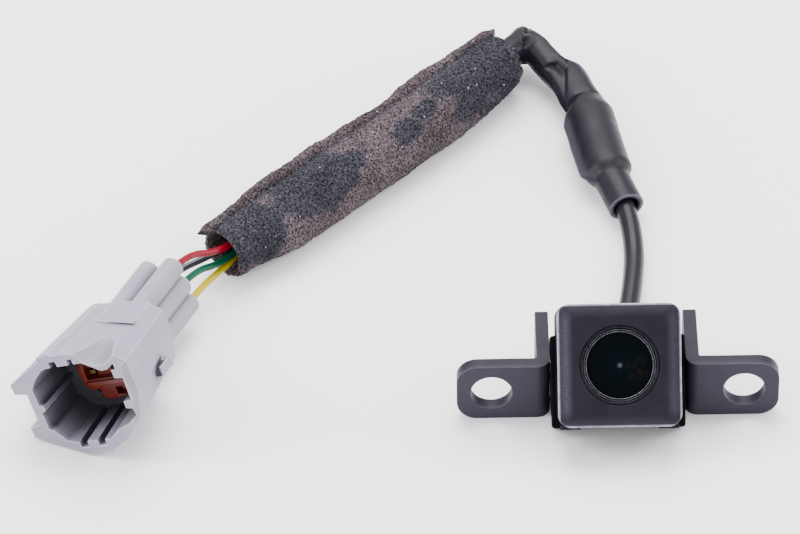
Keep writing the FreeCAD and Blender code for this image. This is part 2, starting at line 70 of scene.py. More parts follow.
# The connector is made with its mouth at the origin and its barrels along +Y, then turned and set down.
MOUTH_AT = Vector((-96.7, -8.6, 10.95))
YAW, PITCH, ROLL = (math.radians(a) for a in (-23.5, -5.2, -25.1))
CONNECTOR_TURN = (
    Matrix.Rotation(YAW, 3, "Z") @ Matrix.Rotation(PITCH, 3, "X") @ Matrix.Rotation(ROLL, 3, "Y")
)
BARREL_END = 39.0
LEAD_IN = 4.4  # how far before its barrel a wire is already straight
WIRE_END = 34.0
COLUMN_X = 2.6
ROW_Z = 3.85
ASIDE = Vector((0.65, -0.6, 0))  # how the wires of the two columns part before the barrels
# each wire's colour, its barrel's column and row, and its place in the stack from the bottom
WIRES = [("red", 1, 1, 3), ("black", -1, 0, 2), ("green", 1, 0, 1), ("yellow", 1, -1, 0)]
STACK_MIDDLE = 1.5

# ---- the camera: a long lens about a metre away

CAMERA_AT = Vector((-38.84, -794.76, 725.60))
CAMERA_DOWN = math.radians(41.0)
CAMERA_ROLL = math.radians(0.9)
CAMERA_LENS = 267.75
SENSOR_WIDTH = 36.0


def make_camera():
    """Looks along +Y and down, rolled a little."""
    forward = Vector((0, math.cos(CAMERA_DOWN), -math.sin(CAMERA_DOWN)))
    top = Vector((0, math.sin(CAMERA_DOWN), math.cos(CAMERA_DOWN)))
    across = Vector((1, 0, 0))
    right = across * math.cos(CAMERA_ROLL) - top * math.sin(CAMERA_ROLL)
    up = across * math.sin(CAMERA_ROLL) + top * math.cos(CAMERA_ROLL)
    data = bpy.data.cameras.new("camera")
    data.lens = CAMERA_LENS
    data.sensor_width = SENSOR_WIDTH
    data.clip_start = 0.05
    data.clip_end = 20
    camera = bpy.data.objects.new("camera", data)
    bpy.context.scene.collection.objects.link(camera)
    matrix = Matrix((right, up, -forward)).transposed().to_4x4()
    matrix.translation = CAMERA_AT * MM
    camera.matrix_world = matrix
    bpy.context.scene.camera = camera


# ---- materials: sizes and places in metres

NOISE_LOW, NOISE_HIGH = 0.3, 0.7  # most of a noise's values lie between these
EDGE_HIGHLIGHT_PATCH = 0.0012
GRAIN_STRENGTH = 0.6
EDGE_SAMPLES = 6


class Nodes:
    """Builds one node material."""

    def __init__(self, name):
        self.material = bpy.data.materials.new(name)
        self.material.use_nodes = True
        self.tree = self.material.node_tree
        self.shader = self.tree.nodes["Principled BSDF"]
        self.place = self.add("ShaderNodeTexCoord").outputs["Object"]

    def add(self, kind, **values):
        node = self.tree.nodes.new(kind)
        for key, value in values.items():
            setattr(node, key, value)
        return node

    def link(self, a, b):
        self.tree.links.new(a, b)

    def put(self, name, value):
        self.shader.inputs[name].default_value = value

    def fill(self, socket, value):
        """Sets the socket to a number or colour, or links it."""
        if isinstance(value, (int, float)):
            socket.default_value = value
        elif isinstance(value, tuple):
            socket.default_value = (*value, 1)
        else:
            self.link(value, socket)

    def noise(self, size, detail=3.0, stretch=None):
        """Noise whose features are about size metres across."""
        node = self.add("ShaderNodeTexNoise")
        node.inputs["Scale"].default_value = 1 / size
        node.inputs["Detail"].default_value = detail
        place = self.place
        if stretch:
            mapping = self.add("ShaderNodeMapping")
            mapping.inputs["Scale"].default_value = stretch
            self.link(place, mapping.inputs["Vector"])
            place = mapping.outputs["Vector"]
        self.link(place, node.inputs["Vector"])
        return node.outputs["Fac"]

    def cells(self, size):
        """Distance from the middle of the nearest cell, in cells about size metres across."""
        node = self.add("ShaderNodeTexVoronoi", feature="F1")
        node.inputs["Scale"].default_value = 1 / size
        self.link(self.place, node.inputs["Vector"])
        return node.outputs["Distance"]

    def range(self, value, a, b, c=0.0, d=1.0):
        """value from a..b to c..d, held at the ends."""
        node = self.add("ShaderNodeMapRange")
        self.link(value, node.inputs["Value"])
        for name, number in (("From Min", a), ("From Max", b), ("To Min", c), ("To Max", d)):
            node.inputs[name].default_value = number
        return node.outputs["Result"]

    def cloudy(self, size, low=0.0, high=1.0):
        """Soft patches about size metres across, from low to high."""
        return self.range(self.noise(size), NOISE_LOW, NOISE_HIGH, low, high)

    def math(self, kind, a, b):
        node = self.add("ShaderNodeMath", operation=kind)
        for socket, value in zip(node.inputs, (a, b)):
            self.fill(socket, value)
        return node.outputs[0]

    def times(self, first, *others):
        for other in others:
            first = self.math("MULTIPLY", first, other)
        return first

    def mix(self, factor, a, b):
        node = self.add("ShaderNodeMix", data_type="RGBA")
        for socket, value in zip((node.inputs[0], node.inputs[6], node.inputs[7]), (factor, a, b)):
            self.fill(socket, value)
        return node.outputs[2]

    def painted(self, name):
        """A value that the mesh carries at its points."""
        return self.add("ShaderNodeAttribute", attribute_name=name).outputs["Fac"]

    def in_frame(self, origin, turn):
        """x, y and z in a frame of the part that is set at origin (in mm) and turned."""
        mapping = self.add("ShaderNodeMapping", vector_type="TEXTURE")
        mapping.inputs["Location"].default_value = origin * MM
        mapping.inputs["Rotation"].default_value = turn
        self.link(self.place, mapping.inputs["Vector"])
        split = self.add("ShaderNodeSeparateXYZ")
        self.link(mapping.outputs["Vector"], split.inputs[0])
        return split.outputs

    def away(self, point):
        """Distance in metres from a point in mm."""
        node = self.add("ShaderNodeVectorMath", operation="DISTANCE")
        self.link(self.place, node.inputs[0])
        node.inputs[1].default_value = point * MM
        return node.outputs["Value"]

    def bump(self, height, distance, strength=1.0, under=None):
        node = self.add("ShaderNodeBump")
        node.inputs["Strength"].default_value = strength
        node.inputs["Distance"].default_value = distance
        self.link(height, node.inputs["Height"])
        if under:
            self.link(under, node.inputs["Normal"])
        return node.outputs["Normal"]

    def soft_edges(self, radius):
        node = self.add("ShaderNodeBevel", samples=EDGE_SAMPLES)
        node.inputs["Radius"].default_value = radius
        return node.outputs["Normal"]

    def grain(self, size, depth, edge_radius):
        """Fine grain on softened edges."""
        return self.bump(self.noise(size, 2.0), depth, GRAIN_STRENGTH, self.soft_edges(edge_radius))

    def edge_highlight(self, radius, least=0.35):
        """1 where an outer or inner edge takes a painted highlight, 0 on flat ground."""
        dot = self.add("ShaderNodeVectorMath", operation="DOT_PRODUCT")
        self.link(self.soft_edges(radius), dot.inputs[0])
        self.link(self.add("ShaderNodeNewGeometry").outputs["Normal"], dot.inputs[1])
        edges = self.range(dot.outputs["Value"], 0.90, 0.995, 1.0, 0.0)
        # the painted highlight comes and goes in patches along the edges
        return self.times(edges, self.range(self.noise(EDGE_HIGHLIGHT_PATCH), 0.3, 0.6, least, 1.0))

    def finish(self, color, rough, normal):
        for name, value in (("Base Color", color), ("Roughness", rough), ("Normal", normal)):
            if value is not None:
                self.fill(self.shader.inputs[name], value)
        return self.material


def shade(color, k):
    return tuple(c * k for c in color)


def plastic(name, color, rough, depth, grain, edge=None, soft=0.00025, coat=0.0, spec=0.5):
    """Moulded or coated solid: cloudy tone, fine grain in bump and gloss, and a paler painted highlight
    along the edges.
    """
    n = Nodes(name)
    base = n.mix(n.cloudy(0.006), shade(color, 0.88), shade(color, 1.12))
    # the edge colour is a painted highlight along the edges
    if edge:
        base = n.mix(n.edge_highlight(soft), base, edge)
    n.put("Coat Weight", coat)
    n.put("Coat Roughness", 0.12)
    n.put("Specular IOR Level", spec)
    return n.finish(base, n.cloudy(0.003, rough * 0.85, rough * 1.15), n.grain(grain, depth, soft))


def cover_material():
    """Front cover: satin black face, a painted highlight on its grainy border (stronger on the left) and a
    bright painted highlight on its outer rim.
    """
    n = Nodes("cover_look")
    # where each zone of the square face fades in, from its middle outwards
    side_border, side_end, corner = (0.0083, 0.0095), (0.0096, 0.0108), (0.0080, 0.0098)
    end_border, rim_at = (0.0092, 0.0108), (0.0106, 0.0110)
    middle = (-0.001, 0.001)
    # the painted highlights of the border and the rim fade away behind the face
    border_depth, rim_depth = (-0.0154, -0.0145), (-0.0154, -0.0148)
    x, y, z = n.in_frame(PIVOT, (-TILT, 0, 0))
    across = n.math("ABSOLUTE", x, 0.0)
    height = n.math("ABSOLUTE", z, 0.0)
    # painted highlight on the bevelled border, stronger on the left side than on the right, weaker at the
    # ends
    side_highlight = n.times(
        n.range(across, *side_border), n.range(across, *side_end, 1.0, 0.35),
        n.range(x, *middle, 0.6, 0.35), n.range(height, *corner, 1.0, 0.3),
    )
    border_highlight = n.math("MAXIMUM", side_highlight, n.times(n.range(height, *end_border), 0.3))
    border_highlight = n.times(border_highlight, n.range(y, *border_depth, 1.0, 0.15))
    speckle = n.range(n.noise(0.0004, 2.0), 0.35, 0.68, 0.62, 1.0)
    base = n.mix(n.cloudy(0.006), (0.0065, 0.0058, 0.0105), (0.010, 0.0092, 0.0155))
    base = n.mix(n.times(border_highlight, speckle), base, (0.062, 0.058, 0.078))
    # painted highlight along the outer rim
    rim_highlight = n.times(
        n.math("MAXIMUM", n.range(across, *rim_at), n.range(height, *rim_at)),
        n.range(n.noise(0.002), 0.3, 0.6, 0.5, 1.0), n.range(y, *rim_depth, 1.0, 0.0),
    )
    base = n.mix(rim_highlight, base, (0.36, 0.35, 0.44))
    n.put("Specular IOR Level", 0.13)
    return n.finish(base, n.cloudy(0.003, 0.36, 0.46), n.grain(0.00022, 0.00002, 0.0004))


def bracket_material():
    """Black coating of the bent sheet, with painted light: the ears' front faces are painted paler than the
    edges and the legs, and a painted highlight runs along the edges.
    """
    n = Nodes("black_paint")
    split = n.add("ShaderNodeSeparateXYZ")
    n.link(n.place, split.inputs[0])
    # painted light: the faces in front are paler, the parts further back darker
    behind = n.range(split.outputs["Y"], -0.0020, -0.0010)
    base = n.mix(behind, (0.034, 0.031, 0.044), (0.0150, 0.0138, 0.0222))
    # painted highlight along the edges
    base = n.mix(n.edge_highlight(0.00025), base, (0.12, 0.115, 0.15))
    n.put("Specular IOR Level", 0.10)
    return n.finish(base, n.cloudy(0.003, 0.36, 0.48), n.grain(0.0003, 0.000012, 0.00025))


def shell_material():
    """Pale moulded connector shell, with painted shade deep inside its keyed mouth."""
    n = Nodes("pale_plastic")
    color, violet = (0.235, 0.228, 0.268), (0.215, 0.195, 0.31)
    base = n.mix(n.cloudy(0.005), shade(color, 0.94), shade(color, 1.06))
    base = n.mix(n.range(n.noise(0.007, 1.0), 0.52, 0.68, 0.0, 0.5), base, violet)
    # painted highlight along the edges
    base = n.mix(n.edge_highlight(0.0003, 0.4), base, (0.60, 0.59, 0.68))
    x, y, z = n.in_frame(MOUTH_AT, CONNECTOR_TURN.to_euler("XYZ"))
    # the cavity's box, where the shade is painted, each side with its own short fade
    inside = n.times(
        n.range(y, 0.0001, 0.0012), n.range(y, 0.0128, 0.0130, 1.0, 0.0),
        n.range(x, -0.0094, -0.0088), n.range(z, -0.0094, -0.0092),
        n.range(x, 0.0118, 0.0121, 1.0, 0.0), n.range(z, 0.0086, 0.0095, 1.0, 0.0),
    )
    # the painted shade grows deeper into the mouth and where the ambient occlusion is strong
    deep = n.range(y, 0.0, 0.011, 0.88, 0.97)
    dim = n.add("ShaderNodeAmbientOcclusion", samples=6)
    dim.inputs["Distance"].default_value = 0.009
    occlusion_shade = n.range(dim.outputs["AO"], 0.78, 0.97, 1.0, 0.0)
    base = n.mix(n.times(inside, deep, occlusion_shade), base, (0.030, 0.028, 0.038))
    n.put("Specular IOR Level", 0.35)
    return n.finish(base, n.cloudy(0.003, 0.42, 0.52), n.grain(0.0003, 0.000012, 0.0003))


def foam_material():
    """Open cells: pale walls round dark pores, stained charcoal in blotches, a painted shadow beside the
    lip, with a few glints.
    """
    n = Nodes("foam")
    pore_size, glint_size = 0.00046, 0.0021
    walls = n.range(n.cells(pore_size), 0.05, 0.78)
    fine = n.range(n.noise(0.00036, 2.0), 0.34, 0.68)
    tone = n.range(n.math("ADD", walls, fine), 0.45, 1.95)
    taupe = n.mix(tone, (0.010, 0.007, 0.008), (0.152, 0.122, 0.132))
    charcoal = n.mix(tone, (0.004, 0.004, 0.005), (0.066, 0.064, 0.080))
    pale = n.mix(tone, (0.012, 0.009, 0.010), (0.120, 0.094, 0.103))
    # real stains and the painted shadow beside the lip both turn the foam charcoal
    base = n.mix(n.painted("stain_and_shadow"), taupe, charcoal)
    base = n.mix(n.painted("lip"), base, pale)
    scaled = n.add("ShaderNodeVectorMath", operation="SCALE")
    n.link(base, scaled.inputs[0])
    n.link(n.cloudy(0.009, 0.75, 1.2), scaled.inputs["Scale"])
    glint = n.range(n.cells(glint_size), 0.04, 0.065, 0.9, 0.0)
    base = n.mix(glint, scaled.outputs[0], (0.8, 0.8, 0.84))
    n.put("Specular IOR Level", 0.06)
    return n.finish(base, 0.95, n.bump(tone, 0.0003, 0.8))


def glass_material():
    """Coated front element: nearly black, with a bluish-green depth, a painted amber reflection, a painted
    ring of reflection and a tiny painted highlight in its middle.
    """
    n = Nodes("lens_glass")
    glass_r, highlight_dot_r = 0.0055, (0.00008, 0.00014)
    ring_reflection_in, ring_reflection_out = (0.0003, 0.00036), (0.00044, 0.0005)
    r = n.away(lens_point(0, FACE_Y, 0))
    base = n.mix(n.range(r, 0.0, glass_r), (0.0002, 0.0022, 0.0035), (0.0006, 0.0012, 0.0016))
    # painted amber reflection off to one side of the middle
    amber_reflection = n.range(n.away(lens_point(3.3, FACE_Y, -0.6)), 0.0008, 0.0026, 0.6, 0.0)
    amber_reflection = n.times(amber_reflection, n.range(n.noise(0.0016), 0.4, 0.6))
    base = n.mix(amber_reflection, base, (0.011, 0.007, 0.004))
    # painted ring of reflection round the middle
    ring_reflection = n.times(n.range(r, *ring_reflection_in), n.range(r, *ring_reflection_out, 1.0, 0.0))
    base = n.mix(ring_reflection, base, (0.035, 0.04, 0.045))
    # painted highlight: a tiny bright dot at the middle
    base = n.mix(n.range(r, *highlight_dot_r, 1.0, 0.0), base, (0.25, 0.26, 0.28))
    n.put("Specular IOR Level", 0.03)
    return n.finish(base, n.cloudy(0.002, 0.03, 0.07), n.bump(n.noise(0.0004), 0.000002, 0.3))


def metal(name, color, rough, stretch):
    """Brushed metal with fine scratches along one way."""
    n = Nodes(name)
    streaks = n.noise(0.0006, 2.0, stretch=stretch)
    base = n.mix(n.range(streaks, NOISE_LOW, NOISE_HIGH), shade(color, 0.8), shade(color, 1.1))
    n.put("Metallic", 1.0)
    normal = n.bump(streaks, 0.00001, 0.5, n.soft_edges(0.0001))
    return n.finish(base, n.cloudy(0.002, rough * 0.8, rough * 1.3), normal)


def board_material():
    """Green solder mask with copper pads."""
    n = Nodes("board")
    pads = n.cells(0.0011)
    spots = n.range(pads, 0.12, 0.16, 1.0, 0.0)
    base = n.mix(spots, (0.02, 0.13, 0.055), (0.55, 0.38, 0.15))
    return n.finish(base, 0.4, n.bump(pads, 0.00005, 0.4))


def skin_material(name, color, rough):
    """Shrunk-on tubing: satin with long soft ripples, fine dust and a painted highlight on the flat edge and
    the open end's rim.
    """
    n = Nodes(name)
    base = n.mix(n.cloudy(0.004), shade(color, 0.85), shade(color, 1.2))
    dust = n.range(n.noise(0.0003, 3.0), 0.62, 0.78, 0.0, 0.35)
    base = n.mix(dust, base, shade(color, 2.2))
    # painted highlight on the flat edge and the open end's rim
    base = n.mix(n.painted("pinch_highlight"), base, (0.26, 0.25, 0.32))
    fine = n.bump(n.noise(0.00015), 0.000004, 0.5)
    ripples = n.bump(n.noise(0.005, 2.0, stretch=(1.0, 0.3, 1.0)), 0.00012, 0.5, fine)
    n.put("Specular IOR Level", 0.15)
    return n.finish(base, n.cloudy(0.0018, rough * 0.8, rough * 1.2), ripples)


def lens_point(x, y, z):
    """A point of the head's upright frame, in the part's frame."""
    turned = Matrix.Rotation(-TILT, 3, "X") @ Vector((x, y, z))
    return turned + PIVOT


# colour, roughness, grain's depth and size, and what else sets each plain solid apart
# each edge colour is a painted highlight along that solid's edges
PLASTICS = {
    "black_plastic": (
        (0.009, 0.008, 0.013), 0.36, 0.00002, 0.00022, {"edge": (0.24, 0.23, 0.28), "spec": 0.13}
    ),
    # a darker copy of the black plastic for the rear housing: painted shade
    "shaded_housing_look": (
        (0.002, 0.002, 0.003), 0.5, 0.00002, 0.00022, {"edge": (0.008, 0.008, 0.01), "spec": 0.05}
    ),
    "lens_black": (
        (0.002, 0.002, 0.003), 0.35, 0.00001, 0.0003,
        {"soft": 0.00012, "edge": (0.10, 0.10, 0.13), "spec": 0.08},
    ),
    "ring_look": (
        (0.006, 0.006, 0.009), 0.3, 0.000005, 0.0003,
        {"soft": 0.00012, "edge": (0.42, 0.42, 0.48), "spec": 0.12},
    ),
    "black_rubber": ((0.010, 0.010, 0.012), 0.6, 0.00002, 0.0002, {}),
    "chip": ((0.02, 0.02, 0.022), 0.5, 0.00001, 0.0002, {}),
    "cable_black": ((0.006, 0.0055, 0.009), 0.3, 0.00001, 0.0005, {"spec": 0.18}),
    "wire_red": ((0.18, 0.001, 0.010), 0.3, 0.000008, 0.0004, {"spec": 0.18}),
    "wire_black": ((0.006, 0.006, 0.010), 0.25, 0.000008, 0.0004, {}),
    "wire_green": ((0.0005, 0.065, 0.034), 0.3, 0.000008, 0.0004, {"spec": 0.18}),
    "wire_yellow": ((0.44, 0.33, 0.004), 0.3, 0.000008, 0.0004, {"spec": 0.18}),
    "retainer_red": ((0.13, 0.010, 0.003), 0.3, 0.00001, 0.0006, {"coat": 0.15}),
    "seal_orange": ((0.50, 0.12, 0.03), 0.5, 0.00001, 0.0003, {}),
}


def make_materials():
    made = {name: plastic(name, *numbers, **others) for name, (*numbers, others) in PLASTICS.items()}
    made.update({
        "cover_look": cover_material(),
        "black_paint": bracket_material(),
        "lens_glass": glass_material(),
        "steel": metal("steel", (0.55, 0.55, 0.56), 0.3, (1, 8, 1)),
        "brass": metal("brass", (0.30, 0.20, 0.09), 0.25, (1, 6, 1)),
        "board": board_material(),
        "shrink_black": skin_material("shrink_black", (0.0065, 0.006, 0.0098), 0.40),
        "foam": foam_material(),
        "pale_plastic": shell_material(),
    })
    return made


# ---- shapes: sizes and places in millimetres


def rounded_points(route, step=0.5):
    """Points every step mm or so on the route, with its corners rounded as the CAD rounds them."""
    points = [Vector(p) for p in route]
    line, at = [points[0]], points[0]
    for before, corner, after in zip(points, points[1:], points[2:]):
        back, on = before - corner, after - corner
        cut = 0.45 * min(back.length, on.length)
        start, end = corner + back.normalized() * cut, corner + on.normalized() * cut
        count = max(1, int((start - at).length / step))
        line += [at.lerp(start, k / count) for k in range(1, count + 1)]
        turns = max(4, int(2 * cut / step))
        for t in (k / turns for k in range(1, turns + 1)):
            line.append(start.lerp(corner, t).lerp(corner.lerp(end, t), t))
        at = end
    count = max(1, int((points[-1] - at).length / step))
    line += [at.lerp(points[-1], k / count) for k in range(1, count + 1)]
    return line


def lengths(line):
    """Distance along the line at each of its points."""
    total, out = 0.0, [0.0]
    for a, b in zip(line, line[1:]):
        total += (b - a).length
        out.append(total)
    return out


def stations(route, count):
    """count places evenly along the route: distance, centre, direction, side and up."""
    line = rounded_points(route)
    marks = lengths(line)
    out, j = [], 0
    for i in range(count):
        s = marks[-1] * i / (count - 1)
        while j < len(marks) - 2 and marks[j + 1] < s:
            j += 1
        part = (s - marks[j]) / max(1e-9, marks[j + 1] - marks[j])
        centre = line[j].lerp(line[j + 1], part)
        behind, ahead = max(0, j - 2), min(len(line) - 1, j + 3)
        along = (line[ahead] - line[behind]).normalized()
        side = along.cross(UP).normalized()
        out.append((s, centre, along, side, side.cross(along)))
    return out


def full_turn(k, count):
    """The angle of the k-th of count points round a ring."""
    return 2 * math.pi * k / count


def smoothstep(x, a, b):
    t = min(1.0, max(0.0, (x - a) / (b - a)))
    return t * t * (3 - 2 * t)


def hump(x, middle, width):
    """1 at the middle, falling away smoothly to both sides."""
    return math.exp(-(((x - middle) / width) ** 2))


def add_object(name, data):
    obj = bpy.data.objects.new(name, data)
    bpy.context.scene.collection.objects.link(obj)
    return obj


def loft(name, rings, joined=False, cap=False):
    """A mesh through the rings of points. joined runs the last ring back to the first."""
    mesh = bpy.data.meshes.new(name)
    around, total = len(rings[0]), len(rings)
    verts = [p * MM for ring in rings for p in ring]
    faces = []
    for i in range(total if joined else total - 1):
        a, b = i * around, ((i + 1) % total) * around
        for k in range(around):
            m = (k + 1) % around
            faces.append((a + k, a + m, b + m, b + k))
    if cap:
        faces.append(tuple(reversed(range(around))))
        faces.append(tuple(range((total - 1) * around, total * around)))
    mesh.from_pydata(verts, [], faces)
    bm = bmesh.new()
    bm.from_mesh(mesh)
    bmesh.ops.recalc_face_normals(bm, faces=bm.faces)
    bm.to_mesh(mesh)
    bm.free()
    mesh.polygons.foreach_set("use_smooth", [True] * len(mesh.polygons))
    return add_object(name, mesh)


def paint(obj, name, values):
    """Gives the mesh a value at each of its points, for its material to read."""
    obj.data.attributes.new(name, "FLOAT", "POINT").data.foreach_set("value", values)


def finish_piece(obj, slot, node):
    """Gives a piece that stands for a node its material, puts it on the root body and hides the node's CAD
    object.
    """
    obj.data.materials.append(MATERIALS[slot])
    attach(obj, "root")
    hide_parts(node)
    return obj


# ---- cable and wires


def curve(name, points, radius):
    data = bpy.data.curves.new(name, "CURVE")
    data.dimensions = "3D"
    data.resolution_u = 16
    data.bevel_resolution = 7
    data.use_fill_caps = True
    spline = data.splines.new("NURBS")
    spline.points.add(len(points) - 1)
    for point, place in zip(spline.points, points):
        point.co = (*(Vector(place) * MM), 1)
    spline.order_u = 3
    spline.use_endpoint_u = True
    data.bevel_depth = radius * MM
    return add_object(name, data)


def connector_point(x, y, z):
    """A point of the connector's own frame, in the part's frame."""
    return MOUTH_AT + CONNECTOR_TURN @ Vector((x, y, z))


def wire_points(column, row, place):
    """A wire's way from the splices through its covers, in the stack, and into its barrel."""
    lift = Vector((0, 0, (place - STACK_MIDDLE) * WIRE_PITCH))
    points = [Vector(p) + lift for p in WIRE_ROUTE]
    points[-1] += ASIDE * column
    for y in (BARREL_END + LEAD_IN, WIRE_END):
        points.append(connector_point(column * COLUMN_X, y, row * ROW_Z))
    return points


def make_cords():
    cable = curve("cable", CABLE_ROUTE, CABLE_R)
    finish_piece(cable, "cable_black", "camera_cable")
    for colour, column, row, place in WIRES:
        points = wire_points(column, row, place)
        wire = curve("wire_" + colour + "_insulation", points, WIRE_R)
        finish_piece(wire, "wire_" + colour, "wire_" + colour)


# ---- foam wrap: distances are from the sleeve's end, angles from the side that faces away from the head

FOAM_AROUND = 216
FOAM_ALONG = 470
FOAM_R = 5.95
FOAM_LUMPS = 0.25
FOAM_BORE, BORE_LUMPS = 4.0, 0.12
# how much thinner the foam is at each end, and over what length
SLEEVE_NARROWS, SLEEVE_RAMP = 0.45, (0.0, 6.0)
CONNECTOR_NARROWS, CONNECTOR_RAMP = 0.75, 16.0
FOAM_LIP = math.radians(50)  # where the foam sheet's two edges meet
SAG_AT, SAG_WIDTH, SAG = 212, 48, 1.25  # the bulge of the lower side that faces the head
SAG_GROWS, SAG_FADES = (2.0, 16.0), (60.0, 75.0)
LIP_FROM, LIP_TO = (-26, -14), (8, 13)  # degrees from FOAM_LIP over which the lip rises and falls
GROOVE_AT, GROOVE_WIDTH, GROOVE = 15, 3.5, 0.8  # the dent beside the lip
SHADOW_AT, SHADOW_WIDTH, SHADOW = 20, 9.0, 0.9  # the painted shadow along that dent
TORN_IN, TORN_IN_LENGTH, TORN_LENGTH = 0.45, 1.2, 5.0  # the ends turn in, and their edge is ragged
FOAM_FLOOR = 0.06
FOAM_ROUGH = [(0.5, 0.2), (1.9, 0.16), (4.3, 0.16)]  # fineness and height of the roughness
BORE_STEP = 12  # the bore's rings are this many stations apart
BORE_PALE = 30  # stations from the connector's end over which the bore shows its pale inside
# dark stains: distance along, angle, half length and half width
STAINS = [
    (6.0, 124, 15.5, 82), (25.8, 122, 4.0, 20), (31.6, 132, 4.2, 24), (54.5, 116, 12.5, 56),
    (73.0, 128, 9.0, 80),
]
STAIN_EDGE = (0.76, 1.16)  # where a stain fades out, in parts of its half size


def foam_radius(s, angle, total):
    """Outer radius, and how far the point is on the lip."""
    off = (math.degrees(angle - FOAM_LIP) + 180) % 360 - 180
    # the lip wanders a few degrees, slowly and quickly
    off += 4.5 * noise.noise(Vector((s * 0.10, 3.1, 0))) + 1.5 * noise.noise(Vector((s * 0.45, 7.1, 0)))
    lump = noise.noise(Vector((s * 0.11, math.cos(angle) * 0.9, math.sin(angle) * 0.9)))
    radius = FOAM_R + FOAM_LUMPS * lump
    narrowed = CONNECTOR_NARROWS * smoothstep(s, total - CONNECTOR_RAMP, total)
    radius -= narrowed + SLEEVE_NARROWS * (1 - smoothstep(s, *SLEEVE_RAMP))
    sag = hump(math.degrees(angle), SAG_AT, SAG_WIDTH)
    radius += SAG * sag * smoothstep(s, *SAG_GROWS) * (1 - smoothstep(s, *SAG_FADES))
    groove = GROOVE * hump(off, GROOVE_AT, GROOVE_WIDTH)
    rise = 1.0 + 1.0 * noise.noise(Vector((s * 0.13, 9.7, 0)))
    lip = smoothstep(off, *LIP_FROM) * (1 - smoothstep(off, *LIP_TO))
    return radius + rise * lip - groove, lip


def foam_point(place, angle, total):
    """A point of the foam's outside with its torn ends, how far it is on the lip, and its smooth place."""
    s, centre, along, side, up = place
    radius, lip = foam_radius(s, angle, total)
    way = side * math.cos(angle) + up * math.sin(angle)
    spot = centre + way * radius
    radius += sum(noise.noise(spot * fine) * height for fine, height in FOAM_ROUGH)
    at_connector = s > total / 2
    end = min(s, total - s)
    radius -= TORN_IN * (1 - smoothstep(end, 0.0, TORN_IN_LENGTH))
    reach = 0.6 * noise.noise(spot * 0.8) + 0.25 * noise.noise(spot * 2.7)
    reach += lip * (2.0 if at_connector else 1.0)
    slide = reach * (1 - smoothstep(end, 0.0, TORN_LENGTH)) * (1 if at_connector else -1)
    point = centre + way * radius + along * slide
    point.z = max(point.z, FOAM_FLOOR)
    return point, lip, spot


def foam_stain_and_shadow(s, angle, lip, spot):
    """How dark the foam is: stained in blotches with ragged edges, and a painted shadow along the groove."""
    dark = 0.0
    for at, turn, long, wide in STAINS:
        round_by = (math.degrees(angle) - turn + 180) % 360 - 180
        away = math.hypot((s - at) / long, round_by / wide)
        away += 0.45 * noise.noise(spot * 0.20) + 0.2 * noise.noise(spot * 0.6)
        dark = max(dark, 1 - smoothstep(away, *STAIN_EDGE))
    shadow = SHADOW * hump(math.degrees(angle - FOAM_LIP) % 360, SHADOW_AT, SHADOW_WIDTH)
    return min(1.0, max(dark * (1 - lip), shadow * (1 - lip)))


def make_foam():
    """Foam sheet rolled round the wires, its edges pinched together along the top, torn at both ends."""
    rings, stain_and_shadow, lips = [], [], []
    places = stations(FOAM_ROUTE, FOAM_ALONG)
    total = places[-1][0]
    angles = [full_turn(k, FOAM_AROUND) for k in range(FOAM_AROUND)]
    for place in places:
        ring = []
        for angle in angles:
            point, lip, spot = foam_point(place, angle, total)
            ring.append(point)
            stain_and_shadow.append(foam_stain_and_shadow(place[0], angle, lip, spot))
            lips.append(lip)
        rings.append(ring)
    for index in list(range(FOAM_ALONG - 1, 0, -BORE_STEP)) + [0]:
        _, centre, _, side, up = places[index]
        ways = [side * math.cos(angle) + up * math.sin(angle) for angle in angles]
        rings.append([
            centre + way * (FOAM_BORE + BORE_LUMPS * noise.noise(centre + way * 3)) for way in ways
        ])
        stain_and_shadow += [0.2] * FOAM_AROUND
        lips += [0.6 if index > FOAM_ALONG - BORE_PALE else 0.0] * FOAM_AROUND
    foam = loft("foam_sheet", rings, joined=True)
    paint(foam, "stain_and_shadow", stain_and_shadow)
    paint(foam, "lip", lips)
    finish_piece(foam, "foam", "foam_wrap")
    return foam


# ---- heat-shrink tube and flat sleeve

SHRINK_AROUND = 72
SHRINK_ALONG = 130
SHRINK_BORE = 2.35
SHRINK_FLOOR = 0.1
NECK_WIDE, NECK_HIGH = 3.4, 3.0  # half sizes
BODY_WIDER, BODY_HIGHER = 1.2, 0.75  # what the body adds to them, and the tail takes away again
BODY_FROM, TAIL = (7.2, 10.0), 4.2
MOUTH_STATIONS = (0, 2, 6, 20)  # the open end's inner wall, from its rim inwards
PINCH_AT, PINCH_WIDTH = math.radians(172), 13  # the flat pinched edge
PINCH_OUT, PINCH_DOWN = 1.0, 0.15
DENT_AT, DENT_WIDTH, DENT = 146, 12, 0.35  # the hollow above that edge


